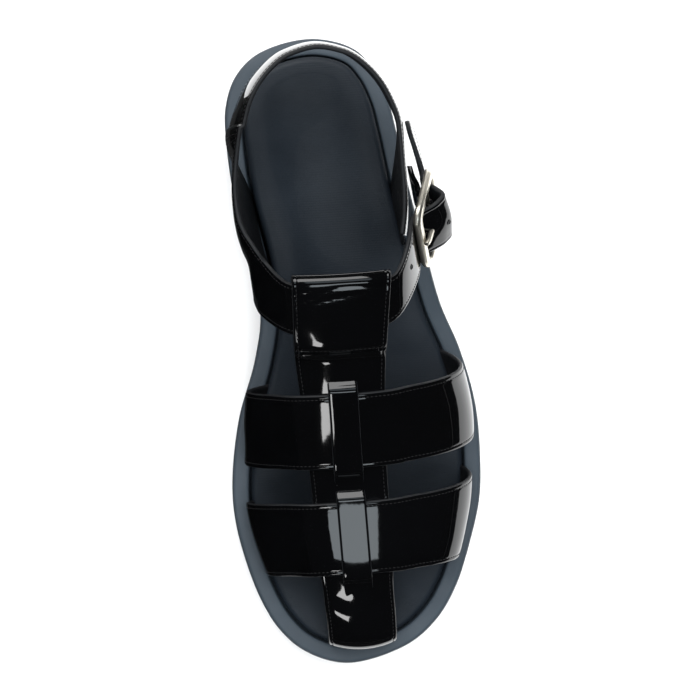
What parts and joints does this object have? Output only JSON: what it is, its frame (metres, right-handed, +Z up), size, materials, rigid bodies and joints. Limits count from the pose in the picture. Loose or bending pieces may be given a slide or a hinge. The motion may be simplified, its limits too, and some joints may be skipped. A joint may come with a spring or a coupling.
{
  "type": "sandal",
  "caption": "Closed-toe strappy sandal with a woven T-strap, cross straps and a buckled ankle band on a thick footbed sole.",
  "frame": {"origin": "on the floor under the middle of the shoe's box", "axes": "+Z up, -Y from heel to toe, +X towards the outer side of the left foot"},
  "size_m": [0.1053, 0.2619, 0.101],
  "materials": {
    "sole": "matte slate rubber",
    "footbed": "fine-grained dark leather",
    "patent": "black patent, high gloss",
    "metal": "pale satin plating"
  },
  "bodies": {
    "root": {"sole": "sole", "footbed": "footbed", "upper": "patent", "buckle_chape": "patent", "buckle_frame": "metal", "buckle_prong": "metal"}
  },
  "joints": []
}
